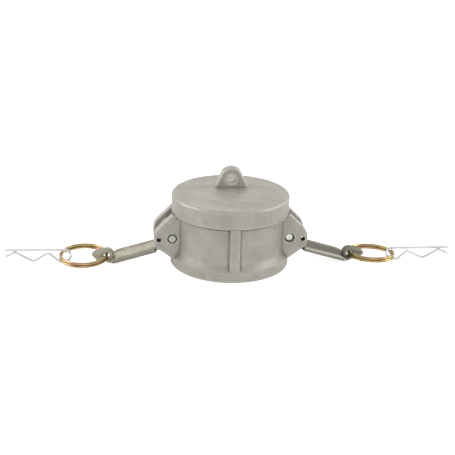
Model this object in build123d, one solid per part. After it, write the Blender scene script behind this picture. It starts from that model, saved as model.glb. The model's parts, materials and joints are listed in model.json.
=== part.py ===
from build123d import *
import math
import os

# Cap for the end of a 2 inch (DN 50) cam and groove pipe adapter.
# The origin is the centre of the mouth, on the plane that the cap rests on. +Z points to the closed
# end, the two cam arms open along +X and -X, and the front rib faces -Y. Everything is in
# millimetres and degrees.

# Adapter that the cap closes
adapter_radius = 31.5
socket_clearance = 0.5
socket_depth = 37.4
mouth_chamfer = 1.2

# Flat gasket in its groove
gasket_width = 7.95
gasket_thickness = 6.35
gasket_grip = 1.35
gasket_side_clearance = 0.15
gasket_height_clearance = 0.25
gasket_corner = 0.4

# Outside of the cap
crown_thickness = 4.0
panel_wall = 3.6
band_step = 3.0
band_height = 12.4
band_top_round = 1.8
band_lip_round = 0.5
flange_step = 3.4
flange_height = 6.8
flange_top_round = 1.2
foot_round = 0.8
cove_rise = 4.2
cove_round = 4.5
rib_width = 6.2
rib_draft_angle = 10.0
rib_root_round = 0.9

# Ears that carry the arms, two on each side
pivot_clearance = 7.0
pivot_height = 20.0
ear_thickness = 5.8
ear_length = 11.8
ear_shoulder_rise = 4.6
ear_shoulder_angle = 45.0
ear_shoulder_round = 9.0
ear_foot_drop = 5.1
ear_foot_angle = 36.0
ear_foot_round = 3.0
ear_edge_round = 0.7
window_rise = 11.0
window_drop = 7.5

# Pivot pins, pressed into the ears
pin_radius = 3.0
pin_length = 22.0
pin_end_chamfer = 0.8
pin_hole_clearance = 0.02
pin_hole_chamfer = 0.35
pin_sideways = {"left": -1.0, "right": 0.9}

# Holes through both ears for the safety clip
safety_hole_radius = 1.45
safety_hole_spacing = 8.7
safety_hole_drop = 0.5

# Tether lug on the closed end
lug_thickness = 6.0
lug_behind_centre = 12.0
lug_aside = 1.2
lug_base_half_width = 10.7
lug_height = 14.0
lug_top_radius = 7.4
lug_edge_round = 1.3
lug_hole_radius = 3.2
lug_hole_height = 5.8

# Cam arms, drawn with the pivot at the origin, the handle along +X and its open trough upwards
arm_head_width = 12.0
arm_side_clearance = 0.2
arm_bore_clearance = 0.06
arm_droop = 15.5
hub_radius = 6.0
lobe_radius = 5.2
lobe_out = 0.8
lobe_up = 4.3
heel_radius = 3.9
heel_out = 3.4
heel_up = 3.5
head_chamfer = 0.4
handle_width = 11.6
handle_start = 8.0
handle_end = 47.0
handle_underside = 7.5
handle_floor_thickness = 1.8
handle_rim_rise = 1.2
handle_rim_width = 1.5
handle_rim_end = 42.0
handle_rim_fall = 4.0
handle_end_round = 4.5
handle_edge_round = 0.5
trough_start = 11.0
trough_end_round = 3.0

# Eye and thumb lip at the end of each arm
eye_out = 44.8
eye_below = 3.2
eye_thickness = 5.5
eye_chamfer = 0.6
lip_top_length = 7.4
lip_length = 9.8
lip_tip_up = 3.0
lip_bottom_length = 7.6
lip_bottom_down = 1.6
ring_hole_radius = 2.4
ring_hole_out = 45.4
ring_hole_below = 3.6
ring_hole_chamfer = 0.3
ring_relief_clearance = 0.15

# Split pull rings, two coils of round wire
ring_wire = 1.8
ring_radius = 15.1
ring_coil_gap = 0.05
ring_droop = {"left": 0.4, "right": 1.5}
ring_roll = {"left": 3.0, "right": -4.0}
ring_step_angle = 24.0
ring_step_at = 130.0

# Safety clips, one round wire each, bent in one plane
clip_wire = 1.6
clip_head_radius = 4.2
clip_leg_length = 39.0
clip_tilt = {"left": 50.0, "right": 41.0}
clip_neck_out = 2.5
clip_waist_out = 10.3
clip_waist_gap = 2.2
clip_belly_out = 20.0
clip_belly_gap = 7.8
clip_throat_out = 32.3
clip_throat_gap = 1.3
clip_tip_out = 38.2
clip_tip_gap = 4.6
clip_neck_bend = 2.5
clip_waist_bend = 2.0
clip_belly_bend = 2.5
clip_throat_bend = 2.4

# Sizes that follow from the ones above
socket_radius = adapter_radius + socket_clearance
gasket_outer_radius = socket_radius + gasket_grip
gasket_inner_radius = gasket_outer_radius - gasket_width
gasket_groove_radius = gasket_outer_radius + gasket_side_clearance
gasket_seat = socket_depth + gasket_thickness + gasket_height_clearance
cap_height = gasket_seat + crown_thickness
panel_radius = socket_radius + panel_wall
band_radius = panel_radius + band_step
flange_radius = panel_radius + flange_step
band_bottom = cap_height - band_height
pivot_radius = adapter_radius + pivot_clearance
ear_reach = pivot_radius + ear_length
ear_gap = arm_head_width + 2 * arm_side_clearance
ear_outer_face = ear_gap / 2 + ear_thickness
handle_floor = handle_underside - handle_floor_thickness
handle_rim_top = handle_floor - handle_rim_rise
eye_radius = handle_underside - eye_below
ring_coil_offset = (ring_wire + ring_coil_gap) / 2


def outline(corners):
    """A closed flat shape from (across, up, radius) corners, each rounded by its own radius."""
    shape = make_face(Polyline([(x, y) for x, y, _ in corners], close=True))
    for x, y, radius in corners:
        if radius > 0:
            corner = shape.vertices().sort_by_distance((x, y, 0))[0]
            shape = fillet(corner, radius)
    return shape


def turned(corners):
    """A solid of revolution about Z from (radius, height, corner radius) corners."""
    return revolve(Plane.XZ * outline(corners), Axis.Z)


def slab(shape, width):
    """A flat shape in the XZ plane, given a width along Y and centred on it."""
    return extrude(Plane.XZ * shape, amount=width / 2, both=True)


def cross_hole(radius, x, z, length):
    """A cylinder along Y, centred on the XZ plane."""
    return Pos(x, 0, z) * Rot(90, 0, 0) * Cylinder(radius, length)


def flange():
    """The thick ring round the mouth, with the sloping cove up to the panels."""
    return turned([
        (0, 0, 0),
        (flange_radius, 0, foot_round),
        (flange_radius, flange_height, flange_top_round),
        (panel_radius, flange_height + cove_rise, cove_round),
        (panel_radius, band_bottom, 0),
        (0, band_bottom, 0),
    ])


def top_band():
    """The thicker band round the closed end."""
    return turned([
        (0, band_bottom, 0),
        (band_radius, band_bottom, band_lip_round),
        (band_radius, cap_height, band_top_round),
        (0, cap_height, 0),
    ])


def ribs():
    """The front and back ribs between the panels, flush with the band and splayed at their roots."""
    deep = panel_radius / 2
    splay = math.tan(math.radians(rib_draft_angle))
    half_top = rib_width / 2 - rib_width * splay
    half_deep = rib_width / 2 + (band_radius - deep) * splay
    wedge = make_face(Polyline([
        (-half_deep, -deep),
        (-half_top, -band_radius - rib_width),
        (half_top, -band_radius - rib_width),
        (half_deep, -deep),
    ], close=True))
    wedge &= Circle(band_radius)
    plan = Circle(panel_radius) + wedge + mirror(wedge, about=Plane.XZ)
    foot = flange_height / 2
    middle = Pos(0, 0, foot) * extrude(plan, amount=band_bottom - foot)
    between = (panel_radius + band_radius) / 2
    uprights = [e for e in middle.edges().filter_by(Axis.Z) if abs(e.center().X) < rib_width]
    roots = [e for e in uprights if abs(e.center().Y) < between]
    return fillet(roots, rib_root_round)


def ear():
    """One ear plate of the right-hand pair, on the +Y side."""
    shoulder_slope = math.tan(math.radians(ear_shoulder_angle))
    foot_slope = math.tan(math.radians(ear_foot_angle))
    root = pivot_radius - ear_thickness
    shoulder = pivot_height + ear_shoulder_rise
    foot = pivot_height - ear_foot_drop
    shape = outline([
        (root, shoulder + (ear_reach - root) * shoulder_slope, 0),
        (ear_reach, shoulder, ear_shoulder_round),
        (ear_reach, foot, ear_foot_round),
        (root, foot - (ear_reach - root) * foot_slope, 0),
    ])
    plate = slab(shape, ear_thickness)
    rims = plate.faces().filter_by(Axis.Y).edges()
    plate = fillet(rims, ear_edge_round)
    keep = Pos(0, 0, flange_height / 2) * Cylinder(
        2 * ear_reach, band_bottom + band_lip_round - flange_height / 2,
        align=(Align.CENTER, Align.CENTER, Align.MIN),
    )
    return Pos(0, (ear_gap + ear_thickness) / 2, 0) * plate & keep


def lug():
    """The tether lug: a rounded plate with a hole, standing behind the centre of the closed end."""
    centre = lug_height - lug_top_radius
    sunk = 2 * lug_edge_round
    spread = lug_base_half_width * (1 + sunk / lug_height)
    base = make_face(Polyline([
        (-spread, -sunk),
        (spread, -sunk),
        (0, centre),
    ], close=True))
    crown = Pos(0, centre) * Circle(lug_top_radius)
    shape = make_hull(base.edges() + crown.edges())
    plate = slab(shape, lug_thickness)
    rims = plate.faces().filter_by(Axis.Y).edges()
    plate = fillet(rims.sort_by(Axis.Z)[2:], lug_edge_round)
    plate -= cross_hole(lug_hole_radius, 0, lug_hole_height, 2 * lug_thickness)
    return Pos(lug_aside, lug_behind_centre, cap_height) * plate


def socket_space():
    """What is cut from the mouth: the chamfer, the socket and the gasket groove."""
    return turned([
        (0, -mouth_chamfer, 0),
        (socket_radius + 2 * mouth_chamfer, -mouth_chamfer, 0),
        (socket_radius, mouth_chamfer, 0),
        (socket_radius, socket_depth, 0),
        (gasket_groove_radius, socket_depth, 0),
        (gasket_groove_radius, gasket_seat, 0),
        (0, gasket_seat, 0),
    ])


def ear_cuts():
    """What is cut through the right-hand side: the cam window, the pin hole and the safety hole."""
    width = 4 * ear_outer_face
    window_bottom = pivot_height - window_drop
    window = Pos(pivot_radius, 0, window_bottom) * Box(
        2 * (pivot_radius - gasket_inner_radius), ear_gap, window_drop + window_rise,
        align=(Align.CENTER, Align.CENTER, Align.MIN),
    )
    hole_radius = pin_radius + pin_hole_clearance
    cuts = window + cross_hole(hole_radius, pivot_radius, pivot_height, width)
    safety_hole_out = pivot_radius + safety_hole_spacing
    safety_hole_height = pivot_height - safety_hole_drop
    cuts += cross_hole(safety_hole_radius, safety_hole_out, safety_hole_height, width)
    for side in (1, -1):
        cone = Cone(hole_radius, hole_radius + pin_hole_chamfer, pin_hole_chamfer)
        face = ear_outer_face - pin_hole_chamfer / 2
        cuts += Pos(pivot_radius, side * face, pivot_height) * Rot(-90 * side, 0, 0) * cone
    return cuts


def cap_body():
    """The cast cap: flange, panels, ribs, band, ears and lug, with the socket and windows cut."""
    body = flange() + top_band() + ribs() + lug()
    right_ears = ear() + mirror(ear(), about=Plane.XZ)
    body += right_ears + mirror(right_ears, about=Plane.YZ)
    body -= socket_space()
    return body - ear_cuts() - mirror(ear_cuts(), about=Plane.YZ)


def gasket():
    """The flat sealing ring, pressed against its seat at the closed end."""
    bottom = gasket_seat - gasket_thickness
    section = Pos(
        (gasket_inner_radius + gasket_outer_radius) / 2, bottom + gasket_thickness / 2
    ) * Rectangle(gasket_outer_radius - gasket_inner_radius, gasket_thickness)
    section = chamfer(section.vertices(), gasket_corner)
    return revolve(Plane.XZ * section, Axis.Z)


def pivot_pin(side):
    """The right-hand arm's pivot pin, set a little off centre in its ears."""
    pin = Rot(90, 0, 0) * Cylinder(pin_radius, pin_length)
    pin = chamfer(pin.edges().filter_by(GeomType.CIRCLE), pin_end_chamfer)
    return Pos(pivot_radius, pin_sideways[side], pivot_height) * pin


def arm_head():
    """The hub, cam lobe and heel, and the web from the hub down to the handle."""
    hub = Circle(hub_radius)
    lobe = Pos(lobe_out, lobe_up) * Circle(lobe_radius)
    heel = Pos(heel_out, heel_up) * Circle(heel_radius)
    neck_end = handle_start + handle_floor_thickness
    neck = make_face(Polyline([
        (handle_start, -handle_underside),
        (neck_end, -handle_underside),
        (neck_end, -handle_rim_top),
        (handle_start, -handle_rim_top),
    ], close=True))
    cam = slab(make_hull(hub.edges() + lobe.edges() + heel.edges()), arm_head_width)
    cam = chamfer(cam.faces().filter_by(Axis.Y).edges(), head_chamfer)
    web = slab(make_hull(hub.edges() + neck.edges()), handle_width)
    return cam + web


def arm_handle():
    """The handle bar: a shallow trough between two rims, which fall away before the eye."""
    length = handle_end - handle_start
    height = handle_underside - handle_rim_top
    bar = Pos(handle_start + length / 2, 0, -handle_underside + height / 2) * Box(
        length, handle_width, height
    )
    ends = bar.edges().filter_by(Axis.Z).group_by(Axis.X)[-1]
    bar = fillet(ends, handle_end_round)
    rims = bar.faces().filter_by(Axis.Z).edges()
    bar = fillet(rims, handle_edge_round)
    trough_width = handle_width - 2 * handle_rim_width
    trough = Pos(trough_start, 0, -handle_floor) * Box(
        length, trough_width, 2 * height, align=(Align.MIN, Align.CENTER, Align.MIN)
    )
    trough = fillet(trough.edges().filter_by(Axis.Z).group_by(Axis.X)[0], trough_end_round)
    fall = make_face(Polyline([
        (handle_rim_end - handle_rim_fall, -handle_rim_top),
        (handle_rim_end, -handle_floor),
        (handle_end + height, -handle_floor),
        (handle_end + height, height),
        (handle_rim_end - handle_rim_fall, height),
    ], close=True))
    return bar - trough - slab(fall, 2 * handle_width)


def arm_eye():
    """The round eye with the pointed thumb lip beyond it, in the middle of the handle's width."""
    boss = Circle(eye_radius)
    lip = make_face(Polyline([
        (0, 0),
        (lip_top_length, eye_radius),
        (lip_length, lip_tip_up),
        (lip_bottom_length, -lip_bottom_down),
    ], close=True))
    shape = make_hull(boss.edges() + lip.edges())
    plate = slab(shape, eye_thickness)
    plate = chamfer(plate.faces().filter_by(Axis.Y).edges(), eye_chamfer)
    return Pos(eye_out, 0, -eye_below) * plate


def ring_relief():
    """Room beside the eye for the ring's coils, which curve and lean away as they leave the hole."""
    side = handle_width / 2
    bow = ring_radius - math.sqrt(ring_radius**2 - side**2)
    lean = side * math.sin(math.radians(max(abs(roll) for roll in ring_roll.values())))
    radius = math.hypot(bow + ring_wire / 2, ring_coil_offset + ring_wire / 2 + lean)
    groove = cross_hole(
        radius + ring_relief_clearance, ring_hole_out, -ring_hole_below, 2 * handle_width
    )
    core = Pos(ring_hole_out, 0, -ring_hole_below) * Box(4 * radius, eye_thickness, 4 * radius)
    return groove - core


def cam_arm():
    """The right-hand arm at rest, drooping from its pivot until its end is just off the table."""
    handle = arm_head() + arm_handle() - ring_relief()
    arm = handle + arm_eye()
    arm -= cross_hole(pin_radius + arm_bore_clearance, 0, 0, 2 * arm_head_width)
    arm -= cross_hole(ring_hole_radius, ring_hole_out, -ring_hole_below, 2 * handle_width)
    for side in (1, -1):
        cone = Cone(ring_hole_radius, ring_hole_radius + ring_hole_chamfer, ring_hole_chamfer)
        face = (eye_thickness - ring_hole_chamfer) / 2
        arm -= Pos(ring_hole_out, side * face, -ring_hole_below) * Rot(-90 * side, 0, 0) * cone
    return arm_place() * arm


def arm_place():
    """Where the arm's own frame lies on the cap, at rest."""
    return Location((pivot_radius, 0, pivot_height), (0, arm_droop, 0))


def ring_hole_centre():
    """The middle of the arm's ring hole, at rest."""
    return (arm_place() * Location((ring_hole_out, 0, -ring_hole_below))).position


def ring_place(side):
    """Where the ring's own frame lies, with its centre at the origin and its coils round Z."""
    hinge = ring_hole_centre()
    drooping = Location((hinge.X, 0, hinge.Z), (0, ring_droop[side], 0))
    return drooping * Location((ring_radius, 0, 0), (ring_roll[side], 0, 0))


def ring_point(angle, height):
    """A point on the ring's wire line."""
    turn = math.radians(angle)
    return (ring_radius * math.cos(turn), ring_radius * math.sin(turn), height)


def pull_ring(side):
    """The right-hand split ring: a lower coil, a short step up and an upper coil."""
    start = ring_step_at + ring_step_angle / 2
    sweep_angle = 360 - ring_step_angle
    low = Pos(0, 0, -ring_coil_offset) * CenterArc((0, 0), ring_radius, start, sweep_angle)
    high = Pos(0, 0, ring_coil_offset) * CenterArc((0, 0), ring_radius, start, sweep_angle)
    step = Spline([low @ 1, ring_point(ring_step_at, 0), high @ 0], tangents=[low % 1, high % 0])
    path = Wire([low, step, high])
    section = Plane(origin=path @ 0, z_dir=path % 0) * Circle(ring_wire / 2)
    return ring_place(side) * sweep(section, path=path)


def clip_plane(side):
    """The tilted plane of the clip, with its origin at the middle of the ring's far side."""
    strand = (ring_place(side) * Location((ring_radius, 0, 0))).position
    tilt = math.radians(clip_tilt[side])
    return Plane(
        origin=(strand.X, 0, strand.Z),
        x_dir=(1, 0, 0),
        z_dir=(0, math.sin(tilt), -math.cos(tilt)),
    )


def safety_clip(side):
    """The right-hand clip: a straight leg, a round head about the ring, and a waved leg."""
    edge = -clip_head_radius
    leg = Line((clip_leg_length, edge), (0, edge))
    head = ThreePointArc((0, edge), (edge, 0), (0, -edge))
    wave = FilletPolyline(
        (0, -edge),
        (clip_neck_out, -edge),
        (clip_waist_out, edge + clip_waist_gap),
        (clip_belly_out, edge + clip_belly_gap),
        (clip_throat_out, edge + clip_throat_gap),
        (clip_tip_out, edge + clip_tip_gap),
        radius=[clip_neck_bend, clip_waist_bend, clip_belly_bend, clip_throat_bend],
    )
    plane = clip_plane(side)
    path = Wire([plane * edge_line for edge_line in (leg, head, *wave.edges())])
    section = Plane(origin=path @ 0, z_dir=path % 0) * Circle(clip_wire / 2)
    return sweep(section, path=path)


def write(name, solid):
    """Writes one named piece."""
    solid.label = name
    export_step(solid, f"parts/{name}.step")


os.makedirs("parts", exist_ok=True)
write("cap_body", cap_body())
write("gasket", gasket())
for side in ("left", "right"):
    pieces = {
        "pivot_pin": pivot_pin(side),
        "cam_arm": cam_arm(),
        "pull_ring": pull_ring(side),
        "safety_clip": safety_clip(side),
    }
    for piece, solid in pieces.items():
        placed = mirror(solid, about=Plane.YZ) if side == "left" else solid
        write(f"{side}_{piece}", placed)
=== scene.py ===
import json
import math

import bmesh
import bpy
from mathutils import Matrix, Vector


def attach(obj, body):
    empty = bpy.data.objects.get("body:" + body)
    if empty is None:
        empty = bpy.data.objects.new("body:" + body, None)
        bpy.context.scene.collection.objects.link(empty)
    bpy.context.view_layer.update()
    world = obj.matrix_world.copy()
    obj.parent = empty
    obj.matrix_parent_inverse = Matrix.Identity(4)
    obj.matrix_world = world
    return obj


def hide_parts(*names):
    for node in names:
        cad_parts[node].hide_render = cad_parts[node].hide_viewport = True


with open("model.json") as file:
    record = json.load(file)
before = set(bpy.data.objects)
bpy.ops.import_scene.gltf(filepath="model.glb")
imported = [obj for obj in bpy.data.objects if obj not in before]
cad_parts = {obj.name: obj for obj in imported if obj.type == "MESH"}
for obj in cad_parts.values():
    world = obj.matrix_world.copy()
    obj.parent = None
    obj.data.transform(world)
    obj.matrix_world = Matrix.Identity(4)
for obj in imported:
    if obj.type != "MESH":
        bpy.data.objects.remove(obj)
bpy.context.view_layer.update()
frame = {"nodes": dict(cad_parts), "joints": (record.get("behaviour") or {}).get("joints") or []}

# Looks of the cap for a 2 inch cam and groove adapter. The cap, the pins and the gasket keep their CAD
# shapes. The arms are copies of the CAD arms with wider handles. Rings and clips are wires swept again
# here, with cut ends and with attributes that their drawn and plated finish follows. Lengths are in
# metres.
MM = 0.001
SIDES = {"left": -1, "right": 1}

# Camera: where the photograph was taken from
CAMERA_DISTANCE = 0.650
CAMERA_HEIGHT = 0.2692
CAMERA_ASIDE = -0.0015
CAMERA_PITCH = math.radians(20.73)
CAMERA_ROLL = math.radians(1.56)
CAMERA_TURN = math.radians(5.66)
CAMERA_LENS = 83.0
CAMERA_SENSOR = 36.0
CAMERA_NEAREST = 10 * MM

# Split pull rings: two coils of round wire with a short step between them
RING_WIRE = 1.8 * MM
RING_COIL_OFFSET = 0.925 * MM
RING_ROLL = {"left": math.radians(3), "right": math.radians(-4)}
RING_STEP_AT = math.radians(22)
RING_STEP_ANGLE = math.radians(24)
RING_STEPS = 480

# Safety clips: corners of the wire's route and the radius that each is bent to, from the middle of
# the ring's far side, first along the clip and then across it
CLIP_WIRE = 1.6 * MM
CLIP_TILT = {"left": math.radians(50), "right": math.radians(41)}
CLIP_PUSHED_IN = {"left": 2.4 * MM, "right": 0.0}
CLIP_HEAD_RADIUS = 4.2 * MM
CLIP_EDGE = -CLIP_HEAD_RADIUS
CLIP_LEG_END = (39.0 * MM, CLIP_EDGE)
CLIP_WAVES = [
    (2.5 * MM, -CLIP_EDGE, 2.5 * MM),
    (10.3 * MM, CLIP_EDGE + 2.2 * MM, 2.0 * MM),
    (20.0 * MM, CLIP_EDGE + 7.8 * MM, 2.5 * MM),
    (32.3 * MM, CLIP_EDGE + 1.3 * MM, 2.4 * MM),
]
CLIP_TIP = (38.2 * MM, CLIP_EDGE + 4.6 * MM)

# Wire mesh
WIRE_SIDES = 24
WIRE_STEP = 0.4 * MM
WIRE_END_CHAMFER = 0.35 * MM
WIRE_END_SHARE = 0.72
WIRE_CORNER_STEPS = 14
WIRE_CREASE = math.radians(40)

# Cam arms: how far they droop, and the wide part of their handles. The flare and the taper are
# stretches of the way out from the pivot, and what is nearer to the middle than the core stays.
ARM_DROOP = math.radians(15.5)
HANDLE_EXTRA = 3.0 * MM
HANDLE_CORE = 2.9 * MM
HANDLE_FLARE = (12.1 * MM, 13.2 * MM)
HANDLE_TAPER = (40.4 * MM, 45.6 * MM)
HANDLE_CUTS = 9
ARM_MERGE = 0.002 * MM
ARM_CREASE = math.radians(28)

# Places on the cap that its finish and its painted shade and highlights follow, as radii, heights and
# distances from the middle plane
BAND_RADIUS = 38.6 * MM
BAND_BOTTOM = 35.6 * MM
CROWN = 48.0 * MM
COVE = (5.6 * MM, 11.0 * MM)
COVE_SIDES = (18.0 * MM, 30.0 * MM)
RIB_ROOT = 3.9 * MM
SAFETY_HOLE_OUT = 47.2 * MM
SAFETY_HOLE_HEIGHT = 19.5 * MM
SAFETY_HOLE_RADIUS = 1.45 * MM
MACHINED_RADIUS = 33.7 * MM
MACHINED_TOP = 43.7 * MM
MOUTH_FACE = 0.05 * MM

# Places on the arms and pins that their finish and their painted light and shade follow, across the arm
# or below its pivot
PIN_RADIUS = 3.0 * MM
TROUGH_WALL = 7.3 * MM
HANDLE_SIDE = 8.6 * MM
HANDLE_SIDE_DARK_BELOW = 5.5 * MM
HANDLE_FLOOR_BELOW = 5.7 * MM
EYE_HALF_THICKNESS = 2.75 * MM

# Painted light and shade of the two sides, which differ in the photograph, as values from 0 to 255: lit
# and shaded tones of one cast steel on the handles' floors, rims, lower sides and eyes
ARM_LIT_AND_SHADED_TONES = {
    "left": {
        "dark": (180, 174, 156), "light": (216, 210, 190), "rim": (132, 129, 118),
        "flank": (128, 125, 115), "eye": (156, 153, 140),
    },
    "right": {
        "dark": (112, 109, 100), "light": (136, 133, 123), "rim": (204, 200, 188),
        "flank": (116, 113, 105), "eye": (136, 133, 119),
    },
}
# Pins: lit and shaded tones of one steel, the right pin's end painted lighter than the left's
PIN_LIT_AND_SHADED_TONES = {
    "left": {"dark": (158, 160, 152), "light": (182, 184, 177)},
    "right": {"dark": (198, 199, 192), "light": (222, 223, 216)},
}

# Floor and surround: how bright the camera sees them, and how bright they are for the cap
FLOOR_REACH = 3.0
FLOOR_BELOW = 0.2 * MM
FLOOR_GREY = 0.5
FLOOR_SEEN = 0.84
FLOOR_REFLECTED = 0.72
SURROUND_SEEN = 1.0
SURROUND_LIGHT = 0.58

# Lamps: place, width and watts
LAMPS = {
    "left_lamp": ((-1.1, 0.05, 0.6), 0.7, 8.0),
    "right_lamp": ((1.1, 0.05, 0.6), 0.7, 7.5),
    "back_lamp": ((0.0, 1.1, 0.8), 0.9, 2.8),
    "front_lamp": ((0.0, -1.25, 0.15), 0.9, 4.0),
}


def srgb(red, green, blue):
    """A colour as a material takes it, from the 0 to 255 values that it shows as."""
    def linear(value):
        value /= 255
        return value / 12.92 if value <= 0.04045 else ((value + 0.055) / 1.055) ** 2.4
    return (linear(red), linear(green), linear(blue), 1.0)


def joint_place(name):
    """The place of a joint at rest."""
    joint = next(j for j in frame["joints"] if j["name"] == name)
    return Vector(joint["pos_m"])


PIVOT = joint_place("right_arm_pivot")


def smooth_step(value, low, high):
    """Rises from 0 to 1 between two values, softly at both."""
    share = min(max((value - low) / (high - low), 0.0), 1.0)
    return share * share * (3 - 2 * share)


def add_object(name, data):
    """A new object in the scene."""
    thing = bpy.data.objects.new(name, data)
    bpy.context.scene.collection.objects.link(thing)
    return thing


# Node helpers
def give(tree, socket, value):
    """Sets an input to a plain value, or links another node's output to it."""
    if isinstance(value, bpy.types.NodeSocket):
        tree.links.new(value, socket)
    else:
        socket.default_value = value


def add(tree, kind, inputs=None, **settings):
    """Adds a node. An input's value may be a plain value or another node's output."""
    node = tree.nodes.new(kind)
    for name, value in settings.items():
        setattr(node, name, value)
    for name, value in (inputs or {}).items():
        give(tree, node.inputs[name], value)
    return node


def maths(tree, operation, *values):
    """The output of a Math node."""
    return add(tree, "ShaderNodeMath", dict(enumerate(values)), operation=operation).outputs[0]


def product(tree, first, *others):
    """All the values multiplied."""
    for other in others:
        first = maths(tree, "MULTIPLY", first, other)
    return first


def size(tree, value):
    """A value without its sign."""
    return maths(tree, "ABSOLUTE", value)


def axes(tree, vector):
    """The X, Y and Z outputs of a vector."""
    return add(tree, "ShaderNodeSeparateXYZ", {0: vector}).outputs


def combined(tree, **parts):
    """A vector from its X, Y and Z, where those that aren't given are 0."""
    return add(tree, "ShaderNodeCombineXYZ", parts).outputs[0]


def distance(tree, first, second):
    """The length of a vector with two parts."""
    flat = combined(tree, X=first, Y=second)
    return add(tree, "ShaderNodeVectorMath", {0: flat}, operation="LENGTH").outputs["Value"]


def spread(tree, value, low, high, to_low=0.0, to_high=1.0):
    """Maps a value from one range to another, held at its ends."""
    node = add(tree, "ShaderNodeMapRange", {
        "Value": value, "From Min": low, "From Max": high, "To Min": to_low, "To Max": to_high,
    })
    return node.outputs["Result"]


def fade(tree, value, none, full, most=1.0):
    """A mask that is 0 up to one value and at its most from another one on, which may be lower."""
    return spread(tree, value, none, full, 0.0, most)


def noise(tree, place, scale, detail=2.0, roughness=0.5, distortion=0.0):
    """The grey output of a Noise Texture."""
    node = add(tree, "ShaderNodeTexNoise", {
        "Vector": place, "Scale": scale, "Detail": detail, "Roughness": roughness,
        "Distortion": distortion,
    })
    return node.outputs["Fac"]


def blend_value(tree, factor, first, second):
    """Mixes two numbers."""
    return add(tree, "ShaderNodeMix", {0: factor, 2: first, 3: second}).outputs[0]


def blend_colour(tree, factor, first, second):
    """Mixes two colours."""
    return add(tree, "ShaderNodeMix", {0: factor, 6: first, 7: second}, data_type="RGBA").outputs[2]


def layered(tree, base, *layers):
    """Lays colours over a base, each where its mask says."""
    for mask, colour in layers:
        base = blend_colour(tree, mask, base, colour)
    return base


def bump(tree, height, depth, normal=None, strength=1.0):
    """The normal output of a Bump node."""
    inputs = {"Height": height, "Distance": depth, "Strength": strength}
    if normal is not None:
        inputs["Normal"] = normal
    return add(tree, "ShaderNodeBump", inputs).outputs[0]


def shader_group(name, inputs, outputs):
    """A new shader node group with float, colour or vector sockets."""
    tree = bpy.data.node_groups.new(name, "ShaderNodeTree")
    for socket, (kind, value) in inputs.items():
        made = tree.interface.new_socket(socket, in_out="INPUT", socket_type=kind)
        if value is not None:
            made.default_value = value
    for socket, kind in outputs.items():
        tree.interface.new_socket(socket, in_out="OUTPUT", socket_type=kind)
    return tree, tree.nodes.new("NodeGroupInput").outputs, tree.nodes.new("NodeGroupOutput").inputs


def use_group(tree, group, **values):
    """Places a node group in a material. Underscores in the names stand for spaces."""
    node = tree.nodes.new("ShaderNodeGroup")
    node.node_tree = group
    for name, value in values.items():
        give(tree, node.inputs[name.replace("_", " ")], value)
    return node.outputs


# Shared effects
def cast_grain_group():
    """The skin of a blasted casting: fine grain, soft unevenness, mottled tone and a few pits."""
    tree, given, out = shader_group(
        "cast_grain",
        {
            "Place": ("NodeSocketVector", None),
            "Grain Scale": ("NodeSocketFloat", 2200.0),
            "Unevenness": ("NodeSocketFloat", 1.0),
            "Pit Scale": ("NodeSocketFloat", 260.0),
            "Pit Share": ("NodeSocketFloat", 0.12),
        },
        {"Height": "NodeSocketFloat", "Tone": "NodeSocketFloat", "Pits": "NodeSocketFloat"},
    )
    place = given["Place"]
    grain = noise(tree, place, scale=given["Grain Scale"], detail=3.0, roughness=0.65)
    dimples = add(tree, "ShaderNodeTexVoronoi", {
        "Vector": place, "Scale": product(tree, given["Grain Scale"], 0.6),
    }, feature="SMOOTH_F1").outputs["Distance"]
    swell = noise(tree, place, scale=160.0)
    cells = add(tree, "ShaderNodeTexVoronoi", {"Vector": place, "Scale": given["Pit Scale"]}).outputs
    chance = add(tree, "ShaderNodeSeparateColor", {"Color": cells["Color"]}).outputs[0]
    is_pit = maths(tree, "LESS_THAN", chance, given["Pit Share"])
    pits = product(tree, is_pit, fade(tree, cells["Distance"], none=0.24, full=0.05))
    fine = maths(tree, "MULTIPLY_ADD", dimples, 0.5, product(tree, grain, 0.7))
    broad = product(tree, swell, 1.6, given["Unevenness"])
    skin = maths(tree, "ADD", fine, broad)
    tree.links.new(maths(tree, "MULTIPLY_ADD", pits, -1.8, skin), out["Height"])
    patches = noise(tree, place, scale=75.0, detail=3.0, roughness=0.6, distortion=0.4)
    specks = noise(tree, place, scale=620.0, roughness=0.7)
    tone = maths(tree, "MULTIPLY_ADD", patches, 0.6, product(tree, specks, 0.4))
    tree.links.new(fade(tree, tone, none=0.36, full=0.64), out["Tone"])
    tree.links.new(pits, out["Pits"])
    return tree


def edge_wear_and_shade_group():
    """Rounds the shading of sharp edges. Marks edges that stand out, for worn edges and painted
    highlights, and marks corners, for painted shade.
    """
    tree, given, out = shader_group(
        "edge_wear_and_shade",
        {
            "Place": ("NodeSocketVector", None),
            "Round": ("NodeSocketFloat", 0.4 * MM),
            "Edge Reach": ("NodeSocketFloat", 1.6 * MM),
            "Corner Reach": ("NodeSocketFloat", 2.4 * MM),
        },
        {"Edge": "NodeSocketFloat", "Corner": "NodeSocketFloat", "Normal": "NodeSocketVector"},
    )
    rounded = add(tree, "ShaderNodeBevel", {"Radius": given["Round"]}, samples=6).outputs[0]
    within = add(tree, "ShaderNodeAmbientOcclusion", {
        "Distance": given["Edge Reach"],
    }, samples=12, only_local=True, inside=True).outputs["AO"]
    around = add(tree, "ShaderNodeAmbientOcclusion", {
        "Distance": given["Corner Reach"],
    }, samples=12, only_local=True).outputs["AO"]
    patchy = noise(tree, given["Place"], scale=420.0, detail=3.0, roughness=0.7)
    broken = spread(tree, patchy, 0.32, 0.6, to_low=0.55)
    edge = product(tree, fade(tree, within, none=0.92, full=0.55), broken)
    corner = fade(tree, around, none=0.95, full=0.5)
    tree.links.new(edge, out["Edge"])
    tree.links.new(maths(tree, "POWER", corner, 1.5), out["Corner"])
    tree.links.new(rounded, out["Normal"])
    return tree


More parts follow.
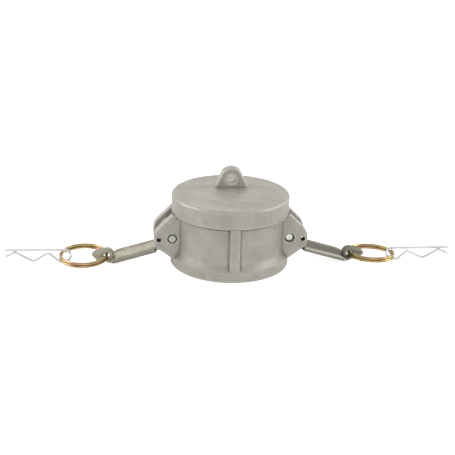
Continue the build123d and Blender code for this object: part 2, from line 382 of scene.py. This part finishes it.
def turned_marks_group():
    """Fine tool marks round an axis, from a turning tool."""
    tree, given, out = shader_group(
        "turned_marks",
        {"Place": ("NodeSocketVector", None), "Pitch": ("NodeSocketFloat", 0.25 * MM)},
        {"Height": "NodeSocketFloat", "Tone": "NodeSocketFloat"},
    )
    parts = axes(tree, given["Place"])
    travel = maths(tree, "ADD", distance(tree, parts["X"], parts["Y"]), parts["Z"])
    turns = maths(tree, "DIVIDE", travel, given["Pitch"])
    groove = maths(tree, "SINE", product(tree, turns, 2 * math.pi))
    rings = combined(tree, X=product(tree, travel, 2600.0))
    uneven = noise(tree, rings, scale=1.0, detail=3.0, roughness=0.7)
    tree.links.new(maths(tree, "MULTIPLY_ADD", groove, 0.3, uneven), out["Height"])
    tree.links.new(uneven, out["Tone"])
    return tree


def drawn_wire_group():
    """Lengthwise scratches of drawn wire, from the places that the wire tree stores."""
    tree, given, out = shader_group(
        "drawn_wire",
        {"Streak Length": ("NodeSocketFloat", 8 * MM)},
        {
            "Streaks": "NodeSocketFloat", "Nicks": "NodeSocketFloat", "Bands": "NodeSocketFloat",
            "Tint": "NodeSocketFloat",
        },
    )
    along = add(tree, "ShaderNodeAttribute", attribute_name="along").outputs["Fac"]
    around = axes(tree, add(tree, "ShaderNodeAttribute", attribute_name="around").outputs["Vector"])

    def on_wire(turn_scale, run):
        """A place on the wire's surface for a pattern, scaled round the wire and running along it."""
        turned = {axis: product(tree, around[axis], turn_scale) for axis in ("X", "Y")}
        return combined(tree, Z=run, **turned)

    scratch_place = on_wire(6.0, maths(tree, "DIVIDE", along, given["Streak Length"]))
    nick_place = on_wire(1.5, product(tree, along, 900.0))
    band_place = on_wire(0.7, product(tree, along, 95.0))
    tint_place = add(tree, "ShaderNodeVectorMath", {
        0: band_place, 1: (7.3, 2.1, 5.7),
    }, operation="ADD").outputs[0]
    nicks = noise(tree, nick_place, scale=1.0, detail=3.0, roughness=0.75)
    bands = noise(tree, band_place, scale=1.0, roughness=0.55, distortion=0.6)
    tree.links.new(noise(tree, scratch_place, scale=2.0, detail=4.0, roughness=0.7), out["Streaks"])
    tree.links.new(fade(tree, nicks, none=0.62, full=0.72), out["Nicks"])
    tree.links.new(bands, out["Bands"])
    tree.links.new(noise(tree, tint_place, scale=1.3), out["Tint"])
    return tree


CAST_GRAIN = cast_grain_group()
EDGE_WEAR_AND_SHADE = edge_wear_and_shade_group()
TURNED_MARKS = turned_marks_group()
DRAWN_WIRE = drawn_wire_group()


def new_material(name):
    """An empty node material, with its tree, its Principled shader and the object's coordinates."""
    material = bpy.data.materials.new(name)
    material.use_nodes = True
    tree = material.node_tree
    tree.nodes.clear()
    shader = tree.nodes.new("ShaderNodeBsdfPrincipled")
    output = tree.nodes.new("ShaderNodeOutputMaterial")
    tree.links.new(shader.outputs[0], output.inputs["Surface"])
    place = tree.nodes.new("ShaderNodeTexCoord").outputs["Object"]
    return material, tree, shader, place


def surface(tree, shader, **sockets):
    """Sets or links the Principled shader's sockets. Underscores stand for spaces."""
    for name, value in sockets.items():
        give(tree, shader.inputs[name.replace("_", " ")], value)


# Masks
def machined_mask(tree, height, radius):
    """The turned faces: the socket, the gasket groove and the face of the mouth."""
    inside = fade(tree, radius, none=MACHINED_RADIUS + 0.05 * MM, full=MACHINED_RADIUS)
    below = fade(tree, height, none=MACHINED_TOP + 0.1 * MM, full=MACHINED_TOP)
    mouth = fade(tree, height, none=MOUTH_FACE + 0.07 * MM, full=MOUTH_FACE)
    return maths(tree, "MAXIMUM", product(tree, inside, below), mouth)


def ear_top_highlight_mask(tree, radius, facing_up):
    """Painted highlight on the upper edges of the ears, where they face up."""
    outside = fade(tree, radius, none=BAND_RADIUS + 0.6 * MM, full=BAND_RADIUS + 1.0 * MM)
    return product(tree, outside, fade(tree, facing_up, none=0.3, full=0.6, most=0.35))


def cove_shade_mask(tree, parts, facing_up):
    """Painted shade on the slope above the flange, at both sides of the cap, where it faces up."""
    low, high = COVE
    middle, end = COVE_SIDES
    return product(
        tree,
        fade(tree, parts["Z"], none=low - 0.3 * MM, full=low + 0.3 * MM),
        fade(tree, parts["Z"], none=high + 1.0 * MM, full=high - 0.5 * MM),
        fade(tree, facing_up, none=0.2, full=0.5),
        fade(tree, size(tree, parts["X"]), none=middle, full=end, most=0.4),
    )


def crease_shade_mask(tree, parts, radius):
    """Painted shade on the panels, right under the band and beside the roots of the ribs."""
    under_band = fade(tree, parts["Z"], none=BAND_BOTTOM - 2.1 * MM, full=BAND_BOTTOM - 1.2 * MM)
    not_above = fade(tree, parts["Z"], none=BAND_BOTTOM + 0.4 * MM, full=BAND_BOTTOM + 0.2 * MM)
    from_root = size(tree, maths(tree, "SUBTRACT", size(tree, parts["X"]), RIB_ROOT))
    beside_rib = fade(tree, from_root, none=0.9 * MM, full=0.2 * MM, most=0.5)
    set_back = fade(tree, radius, none=BAND_RADIUS - 0.15 * MM, full=BAND_RADIUS - 0.4 * MM)
    places = maths(tree, "MAXIMUM", under_band, beside_rib)
    return product(tree, places, set_back, not_above, 0.6)


def from_cross_line(tree, parts, out, height):
    """The distance from a line along Y at this height and this far out, on either side."""
    beside = maths(tree, "SUBTRACT", size(tree, parts["X"]), out)
    return distance(tree, beside, maths(tree, "SUBTRACT", parts["Z"], height))


# Materials
def cast_aluminium():
    """Blasted aluminium casting: warm grey and mottled, with worn edges and painted highlights at its
    rim, lug and ear tops, painted shade in its corners, creases, coves and safety holes, and machined
    inside.
    """
    material, tree, shader, place = new_material("cast_aluminium_skin")
    skin = use_group(tree, CAST_GRAIN, Place=place, Grain_Scale=2400.0, Unevenness=1.0, Pit_Share=0.10)
    wear_and_shade = use_group(
        tree, EDGE_WEAR_AND_SHADE, Place=place, Round=0.45 * MM, Edge_Reach=2.6 * MM, Corner_Reach=2.6 * MM
    )
    marks = use_group(tree, TURNED_MARKS, Place=place, Pitch=0.3 * MM)
    parts = axes(tree, place)
    height = parts["Z"]
    radius = distance(tree, parts["X"], parts["Y"])
    facing_up = axes(tree, tree.nodes.new("ShaderNodeTexCoord").outputs["Normal"])["Z"]
    # How much painted shade darkens the corners: less toward the crown and the lug's foot
    corner_shade_share = spread(tree, height, CROWN - 4 * MM, CROWN + 1 * MM, to_low=0.85, to_high=0.3)
    # How strongly edges are lightened, as worn edges and painted highlight: most at the rim and lug,
    # least just above the band's lower edge
    worn_and_highlit = spread(tree, height, BAND_BOTTOM + 1 * MM, CROWN + 1 * MM, to_low=0.2, to_high=1.0)
    # The insides of the safety holes are painted dark, as shade in the holes
    from_hole = from_cross_line(tree, parts, SAFETY_HOLE_OUT, SAFETY_HOLE_HEIGHT)
    in_hole = fade(
        tree, from_hole, none=SAFETY_HOLE_RADIUS + 0.15 * MM, full=SAFETY_HOLE_RADIUS + 0.05 * MM
    )
    cast = layered(
        tree,
        blend_colour(tree, skin["Tone"], srgb(161, 158, 149), srgb(174, 172, 163)),
        # painted shade in the corners and creases
        (product(tree, wear_and_shade["Corner"], corner_shade_share), srgb(82, 78, 66)),
        # edges lightened, partly worn edges and partly painted highlight
        (product(tree, wear_and_shade["Edge"], worn_and_highlit), srgb(230, 227, 217)),
        (product(tree, skin["Pits"], 0.6), srgb(110, 107, 98)),
        # painted highlight on the ear tops
        (ear_top_highlight_mask(tree, radius, facing_up), srgb(214, 211, 200)),
        # painted shade on the coves
        (cove_shade_mask(tree, parts, facing_up), srgb(110, 107, 98)),
        # painted shade under the band and beside the ribs
        (crease_shade_mask(tree, parts, radius), srgb(92, 89, 78)),
        # painted shade inside the safety holes
        (in_hole, srgb(38, 36, 31)),
    )
    bright = blend_colour(tree, marks["Tone"], srgb(176, 176, 172), srgb(208, 208, 204))
    machined = machined_mask(tree, height, radius)
    dull = spread(tree, skin["Tone"], 0.0, 1.0, to_low=0.62, to_high=0.5)
    relief = blend_value(tree, machined, skin["Height"], marks["Height"])
    surface(
        tree, shader,
        Base_Color=blend_colour(tree, machined, cast, bright),
        Metallic=0.55,
        Roughness=blend_value(tree, machined, dull, 0.3),
        Normal=bump(tree, relief, 0.06 * MM, wear_and_shade["Normal"], 0.8),
    )
    return material


def cast_steel(side, dark, light, rim, flank, eye):
    """Investment cast steel of one arm, with this side's painted light and shade on the handle's floor,
    rims and sides and the eye.
    """
    material, tree, shader, place = new_material(f"{side}_arm_cast_steel_lit_and_shaded")
    skin = use_group(tree, CAST_GRAIN, Place=place, Grain_Scale=3000.0, Unevenness=1.4, Pit_Share=0.16)
    wear_and_shade = use_group(
        tree, EDGE_WEAR_AND_SHADE, Place=place, Round=0.45 * MM, Edge_Reach=0.9 * MM, Corner_Reach=1.2 * MM
    )
    parts = axes(tree, place)
    across = size(tree, parts["Y"])
    out = maths(tree, "SUBTRACT", size(tree, parts["X"]), PIVOT.x)
    over = maths(tree, "SUBTRACT", parts["Z"], PIVOT.z)
    above_pivot = maths(
        tree, "ADD", product(tree, out, math.sin(ARM_DROOP)), product(tree, over, math.cos(ARM_DROOP))
    )
    # The handle's rim, the lower part of its side and its eye get this side's painted light and shade
    on_rim = fade(tree, across, none=TROUGH_WALL - 0.1 * MM, full=TROUGH_WALL + 0.2 * MM, most=0.8)
    on_side = fade(tree, across, none=HANDLE_SIDE - 0.1 * MM, full=HANDLE_SIDE + 0.1 * MM, most=0.8)
    low_down = fade(
        tree, above_pivot,
        none=-HANDLE_SIDE_DARK_BELOW + 0.2 * MM, full=-HANDLE_SIDE_DARK_BELOW - 0.2 * MM,
    )
    over_floor = fade(
        tree, above_pivot, none=-HANDLE_FLOOR_BELOW + 0.1 * MM, full=-HANDLE_FLOOR_BELOW + 0.4 * MM
    )
    in_middle = fade(
        tree, across, none=EYE_HALF_THICKNESS + 0.3 * MM, full=EYE_HALF_THICKNESS + 0.1 * MM
    )
    on_eye = product(tree, maths(tree, "MINIMUM", over_floor, in_middle), 0.8)
    base = layered(
        tree,
        # the skin's tone, between this side's lit and shaded ends
        blend_colour(tree, skin["Tone"], srgb(*dark), srgb(*light)),
        # painted shade in the corners
        (product(tree, wear_and_shade["Corner"], 0.6), srgb(78, 73, 62)),
        # painted light and shade of this side on the rim, the lower side and the eye
        (on_rim, srgb(*rim)),
        (product(tree, on_side, low_down), srgb(*flank)),
        (on_eye, srgb(*eye)),
        # edges lightened, partly worn edges and partly painted highlight
        (product(tree, wear_and_shade["Edge"], 0.4), srgb(196, 192, 180)),
        (product(tree, skin["Pits"], 0.6), srgb(84, 80, 70)),
    )
    surface(
        tree, shader,
        Base_Color=base,
        Metallic=0.7,
        Roughness=spread(tree, skin["Tone"], 0.0, 1.0, to_low=0.53, to_high=0.39),
        Normal=bump(tree, skin["Height"], 0.07 * MM, wear_and_shade["Normal"], 0.8),
    )
    return material


def turned_steel(side, dark, light):
    """Bright steel of one pivot pin, with scratches on it, a tone lit for its side and painted shade
    round the rim of its ends.
    """
    material, tree, shader, place = new_material(f"{side}_pin_steel_turned_lit_and_shaded")
    wear_and_shade = use_group(
        tree, EDGE_WEAR_AND_SHADE, Place=place, Round=0.25 * MM, Edge_Reach=0.5 * MM, Corner_Reach=1.0 * MM
    )
    scratches = noise(tree, place, scale=1800.0, detail=4.0, roughness=0.7)
    stains = noise(tree, place, scale=420.0, detail=3.0, roughness=0.6)
    stained = blend_colour(tree, fade(tree, stains, none=0.35, full=0.65), srgb(*dark), srgb(*light))
    # Painted shade round the rim of the pin's ends, in the chamfer beside the hole
    from_axis = from_cross_line(tree, axes(tree, place), PIVOT.x, PIVOT.z)
    rim_shade = fade(tree, from_axis, none=PIN_RADIUS - 0.75 * MM, full=PIN_RADIUS - 0.3 * MM, most=0.9)
    surface(
        tree, shader,
        Base_Color=blend_colour(tree, rim_shade, stained, srgb(58, 57, 48)),
        Metallic=0.75,
        Roughness=spread(tree, scratches, 0.3, 0.7, to_low=0.28, to_high=0.46),
        Normal=bump(tree, scratches, 0.03 * MM, wear_and_shade["Normal"], 0.6),
    )
    return material


def plated_wire():
    """Yellow plated spring wire: gold with copper, pink and green tints that drift along it."""
    material, tree, shader, _ = new_material("yellow_plated_wire")
    wire = use_group(tree, DRAWN_WIRE, Streak_Length=9 * MM)
    tints = add(tree, "ShaderNodeValToRGB", {"Fac": wire["Bands"]})
    stops = [
        (0.30, srgb(136, 136, 86)),
        (0.40, srgb(204, 192, 128)),
        (0.50, srgb(156, 130, 82)),
        (0.58, srgb(188, 142, 120)),
        (0.68, srgb(210, 190, 146)),
    ]
    ramp = tints.color_ramp
    while len(ramp.elements) < len(stops):
        ramp.elements.new(0.5)
    for element, (position, colour) in zip(ramp.elements, stops):
        element.position = position
        element.color = colour
    base = layered(
        tree,
        tints.outputs["Color"],
        (fade(tree, wire["Tint"], none=0.5, full=0.7, most=0.6), srgb(186, 144, 122)),
        (product(tree, wire["Nicks"], 0.5), srgb(84, 64, 42)),
    )
    surface(
        tree, shader,
        Base_Color=base,
        Metallic=0.9,
        Roughness=spread(tree, wire["Streaks"], 0.3, 0.7, to_low=0.22, to_high=0.38),
        Normal=bump(tree, wire["Streaks"], 0.025 * MM),
    )
    return material


def zinc_wire():
    """Bright zinc plated wire of the safety clips."""
    material, tree, shader, _ = new_material("bright_zinc_wire")
    wire = use_group(tree, DRAWN_WIRE, Streak_Length=14 * MM)
    drifting = fade(tree, wire["Bands"], none=0.35, full=0.65)
    base = layered(
        tree,
        blend_colour(tree, drifting, srgb(204, 205, 204), srgb(236, 236, 234)),
        (product(tree, wire["Nicks"], 0.4), srgb(130, 130, 126)),
    )
    surface(
        tree, shader,
        Base_Color=base,
        Metallic=0.6,
        Roughness=spread(tree, wire["Streaks"], 0.3, 0.7, to_low=0.24, to_high=0.4),
        Normal=bump(tree, wire["Streaks"], 0.02 * MM),
    )
    return material


def seal_rubber():
    """Moulded black rubber of the gasket, with a faint bloom."""
    material, tree, shader, place = new_material("seal_rubber_black")
    bloom = noise(tree, place, scale=300.0, detail=4.0, roughness=0.6)
    bloomed = fade(tree, bloom, none=0.35, full=0.75)
    surface(
        tree, shader,
        Base_Color=blend_colour(tree, bloomed, srgb(30, 30, 30), srgb(58, 57, 55)),
        Roughness=spread(tree, bloom, 0.3, 0.7, to_low=0.5, to_high=0.72),
        Normal=bump(tree, noise(tree, place, scale=3000.0), 0.03 * MM),
    )
    return material


# Wire pieces
def wire_tree():
    """Geometry Nodes: bends a route's corners and sweeps a round wire with chamfered ends along it."""
    tree = bpy.data.node_groups.new("wire_along_route", "GeometryNodeTree")
    sockets = {
        "Geometry": "NodeSocketGeometry", "Wire Diameter": "NodeSocketFloat", "Sides": "NodeSocketInt",
        "Corner Steps": "NodeSocketInt", "Step": "NodeSocketFloat", "End Chamfer": "NodeSocketFloat",
        "Material": "NodeSocketMaterial",
    }
    for name, kind in sockets.items():
        tree.interface.new_socket(name, in_out="INPUT", socket_type=kind)
    tree.interface.new_socket("Geometry", in_out="OUTPUT", socket_type="NodeSocketGeometry")
    given = tree.nodes.new("NodeGroupInput").outputs

    def noted(curve, name, value, data_type):
        """The curve with a value stored at its points, for the material."""
        return add(tree, "GeometryNodeStoreNamedAttribute", {
            "Geometry": curve, "Name": name, "Value": value,
        }, data_type=data_type, domain="POINT").outputs[0]

    bend = add(tree, "GeometryNodeInputNamedAttribute", {"Name": "bend_radius"}, data_type="FLOAT")
    line = add(tree, "GeometryNodeMeshToCurve", {"Mesh": given["Geometry"]})
    bent = add(tree, "GeometryNodeFilletCurve", {
        "Curve": line.outputs[0], "Radius": bend.outputs["Attribute"], "Count": given["Corner Steps"],
        "Limit Radius": True,
    }, mode="POLY")
    even = add(tree, "GeometryNodeResampleCurve", {
        "Curve": bent.outputs[0], "Length": given["Step"],
    }, mode="LENGTH")
    walked = add(tree, "GeometryNodeSplineParameter").outputs["Length"]
    whole = add(tree, "GeometryNodeSplineLength").outputs["Length"]
    to_end = maths(tree, "MINIMUM", walked, maths(tree, "SUBTRACT", whole, walked))
    chamfered = maths(tree, "DIVIDE", to_end, given["End Chamfer"])
    sized = add(tree, "GeometryNodeSetCurveRadius", {
        "Curve": noted(even.outputs[0], "along", walked, "FLOAT"),
        "Radius": spread(tree, chamfered, 0.0, 1.0, to_low=WIRE_END_SHARE),
    })
    profile = add(tree, "GeometryNodeCurvePrimitiveCircle", {
        "Resolution": given["Sides"], "Radius": product(tree, given["Wire Diameter"], 0.5),
    })
    outward = add(tree, "ShaderNodeVectorMath", {
        0: add(tree, "GeometryNodeInputPosition").outputs[0],
    }, operation="NORMALIZE")
    swept = add(tree, "GeometryNodeCurveToMesh", {
        "Curve": sized.outputs[0],
        "Profile Curve": noted(profile.outputs["Curve"], "around", outward.outputs[0], "FLOAT_VECTOR"),
        "Fill Caps": True,
    })
    real = add(tree, "GeometryNodeRealizeInstances", {"Geometry": swept.outputs[0]})
    dressed = add(tree, "GeometryNodeSetMaterial", {
        "Geometry": real.outputs[0], "Material": given["Material"],
    })
    out = tree.nodes.new("NodeGroupOutput")
    tree.links.new(dressed.outputs[0], out.inputs["Geometry"])
    return tree


WIRE_TREE = wire_tree()


def wire_piece(name, route, bends, diameter, material):
    """A mesh wire along a route of points, each with the radius that it is bent to."""
    mesh = bpy.data.meshes.new(name + "_route")
    mesh.from_pydata(route, [(i, i + 1) for i in range(len(route) - 1)], [])
    mesh.attributes.new("bend_radius", "FLOAT", "POINT").data.foreach_set("value", bends)
    piece = add_object(name, mesh)
    modifier = piece.modifiers.new("wire", "NODES")
    modifier.node_group = WIRE_TREE
    values = {
        "Wire Diameter": diameter, "Sides": WIRE_SIDES, "Corner Steps": WIRE_CORNER_STEPS,
        "Step": WIRE_STEP, "End Chamfer": WIRE_END_CHAMFER, "Material": material,
    }
    for socket in WIRE_TREE.interface.items_tree:
        if socket.in_out == "INPUT" and socket.name in values:
            modifier[socket.identifier] = values[socket.name]
    evaluated = piece.evaluated_get(bpy.context.evaluated_depsgraph_get())
    swept = bpy.data.meshes.new_from_object(evaluated)
    piece.modifiers.clear()
    piece.data = swept
    swept.name = name
    swept.shade_smooth()
    swept.set_sharp_from_angle(angle=WIRE_CREASE)
    return piece


def ring_route(side):
    """The split ring's wire line: once round below, a short step up, and once round above."""
    hinge = joint_place(f"{side}_ring_swing")
    far = joint_place(f"{side}_clip_swing")
    centre = (hinge + far) / 2
    radius = (far - hinge).length / 2
    outward = (far - hinge).normalized()
    across = Vector((0, math.cos(RING_ROLL[side]), math.sin(RING_ROLL[side])))
    up = outward.cross(across) * SIDES[side]
    start = RING_STEP_AT + RING_STEP_ANGLE / 2
    one_coil = 2 * math.pi - RING_STEP_ANGLE
    whole = 2 * one_coil + RING_STEP_ANGLE
    route = []
    for step in range(RING_STEPS + 1):
        turned = whole * step / RING_STEPS
        angle = start + turned
        climb = smooth_step(turned, one_coil, one_coil + RING_STEP_ANGLE)
        height = RING_COIL_OFFSET * (2 * climb - 1)
        route.append(
            centre + radius * (math.cos(angle) * outward + math.sin(angle) * across) + height * up
        )
    return route


def clip_route(side):
    """The clip's wire line as corners, with the radius of each bend."""
    along = Vector((SIDES[side], 0, 0))
    tilt = CLIP_TILT[side]
    across = Vector((0, -math.cos(tilt), -math.sin(tilt)))
    corners = [
        (*CLIP_LEG_END, 0.0),
        (CLIP_EDGE, CLIP_EDGE, CLIP_HEAD_RADIUS),
        (CLIP_EDGE, -CLIP_EDGE, CLIP_HEAD_RADIUS),
        *CLIP_WAVES,
        (*CLIP_TIP, 0.0),
    ]
    head = joint_place(f"{side}_clip_swing") - CLIP_PUSHED_IN[side] * along
    route = [head + out * along + over * across for out, over, _ in corners]
    return route, [bend for _, _, bend in corners]


def ring_and_clip(side, ring_finish, clip_finish):
    """The wire pieces of one side, in place of their CAD nodes."""
    route = ring_route(side)
    ring = wire_piece(f"{side}_split_ring", route, [0.0] * len(route), RING_WIRE, ring_finish)
    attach(ring, f"{side}_ring")
    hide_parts(f"{side}_pull_ring")
    route, bends = clip_route(side)
    clip = wire_piece(f"{side}_wire_clip", route, bends, CLIP_WIRE, clip_finish)
    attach(clip, f"{side}_clip")
    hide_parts(f"{side}_safety_clip")


# Arms
def widen_handle(body, pivot, outward):
    """Cuts an arm's mesh across where its handle flares and tapers, and moves its sides apart."""
    for low, high in (HANDLE_FLARE, HANDLE_TAPER):
        for cut in range(HANDLE_CUTS + 1):
            reach = low + (high - low) * cut / HANDLE_CUTS
            bmesh.ops.bisect_plane(
                body, geom=body.verts[:] + body.edges[:] + body.faces[:],
                plane_co=pivot + outward * reach, plane_no=outward,
            )
    for vertex in body.verts:
        reach = (vertex.co - pivot).dot(outward)
        share = smooth_step(reach, *HANDLE_FLARE) * (1 - smooth_step(reach, *HANDLE_TAPER))
        if abs(vertex.co.y) > HANDLE_CORE:
            vertex.co.y += math.copysign(HANDLE_EXTRA * share, vertex.co.y)


def wide_arm(side, material):
    """The cast arm with its handle as wide as the real one, which the CAD node draws narrower."""
    mesh = frame["nodes"][f"{side}_cam_arm"].data.copy()
    mesh.name = f"{side}_arm"
    body = bmesh.new()
    body.from_mesh(mesh)
    bmesh.ops.remove_doubles(body, verts=body.verts, dist=ARM_MERGE)
    outward = Vector((SIDES[side] * math.cos(ARM_DROOP), 0, -math.sin(ARM_DROOP)))
    widen_handle(body, joint_place(f"{side}_arm_pivot"), outward)
    body.to_mesh(mesh)
    body.free()
    mesh.materials.clear()
    mesh.materials.append(material)
    mesh.shade_smooth()
    mesh.set_sharp_from_angle(angle=ARM_CREASE)
    arm = add_object(f"{side}_arm", mesh)
    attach(arm, f"{side}_arm")
    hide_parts(f"{side}_cam_arm")


def dress(node, material):
    """Gives a CAD node its material."""
    slots = frame["nodes"][node].data.materials
    slots.clear()
    slots.append(material)


dress("cap_body", cast_aluminium())
dress("gasket", seal_rubber())
ring_finish = plated_wire()
clip_finish = zinc_wire()
for side in SIDES:
    wide_arm(side, cast_steel(side, **ARM_LIT_AND_SHADED_TONES[side]))
    dress(f"{side}_pivot_pin", turned_steel(side, **PIN_LIT_AND_SHADED_TONES[side]))
    ring_and_clip(side, ring_finish, clip_finish)


# Floor and light
def floor():
    """A plain white floor that keeps the cap's soft shadow and is clear from below."""
    mesh = bpy.data.meshes.new("floor")
    signs = ((-1, -1), (1, -1), (1, 1), (-1, 1))
    corners = [(x * FLOOR_REACH, y * FLOOR_REACH, -FLOOR_BELOW) for x, y in signs]
    mesh.from_pydata(corners, [], [(0, 1, 2, 3)])
    material, tree, shader, _ = new_material("floor_white")
    path = tree.nodes.new("ShaderNodeLightPath").outputs
    backfacing = tree.nodes.new("ShaderNodeNewGeometry").outputs["Backfacing"]
    surface(
        tree, shader,
        Base_Color=(FLOOR_GREY, FLOOR_GREY, FLOOR_GREY, 1),
        Roughness=1.0,
        Emission_Color=(1, 1, 1, 1),
        Emission_Strength=maths(
            tree, "MAXIMUM",
            product(tree, path["Is Camera Ray"], FLOOR_SEEN),
            product(tree, path["Is Glossy Ray"], FLOOR_REFLECTED),
        ),
        Alpha=maths(tree, "SUBTRACT", 1.0, backfacing),
    )
    mesh.materials.append(material)
    piece = add_object("floor", mesh)


def world_light():
    """An even white surround, at full white where the camera sees it."""
    world = bpy.data.worlds.new("studio")
    world.use_nodes = True
    tree = world.node_tree
    tree.nodes.clear()
    path = tree.nodes.new("ShaderNodeLightPath").outputs
    strength = spread(
        tree, path["Is Camera Ray"], 0.0, 1.0, to_low=SURROUND_LIGHT, to_high=SURROUND_SEEN
    )
    background = add(tree, "ShaderNodeBackground", {"Color": (1, 1, 1, 1), "Strength": strength})
    output = tree.nodes.new("ShaderNodeOutputWorld")
    tree.links.new(background.outputs[0], output.inputs["Surface"])
    bpy.context.scene.world = world


def softbox(name, place, width, watts):
    """A square lamp that faces the cap."""
    lamp = bpy.data.lights.new(name, "AREA")
    lamp.shape = "SQUARE"
    lamp.size = width
    lamp.energy = watts
    thing = add_object(name, lamp)
    thing.location = place
    thing.rotation_euler = Vector(place).to_track_quat("Z", "Y").to_euler()


def camera():
    """The camera of the photograph: in front, a little above and turned a few degrees."""
    lens = bpy.data.cameras.new("camera")
    lens.lens = CAMERA_LENS
    lens.sensor_width = CAMERA_SENSOR
    lens.clip_start = CAMERA_NEAREST
    turn = Matrix.Rotation(-CAMERA_TURN, 4, "Z")
    place = turn @ Matrix.Translation((CAMERA_ASIDE, -CAMERA_DISTANCE, CAMERA_HEIGHT))
    tilt = Matrix.Rotation(math.pi / 2 - CAMERA_PITCH, 4, "X")
    thing = add_object("camera", lens)
    thing.matrix_world = place @ tilt @ Matrix.Rotation(CAMERA_ROLL, 4, "Z")
    bpy.context.scene.camera = thing


floor()
world_light()
for name, (place, width, watts) in LAMPS.items():
    softbox(name, place, width, watts)
camera()

bpy.context.scene.view_settings.view_transform = "Standard"
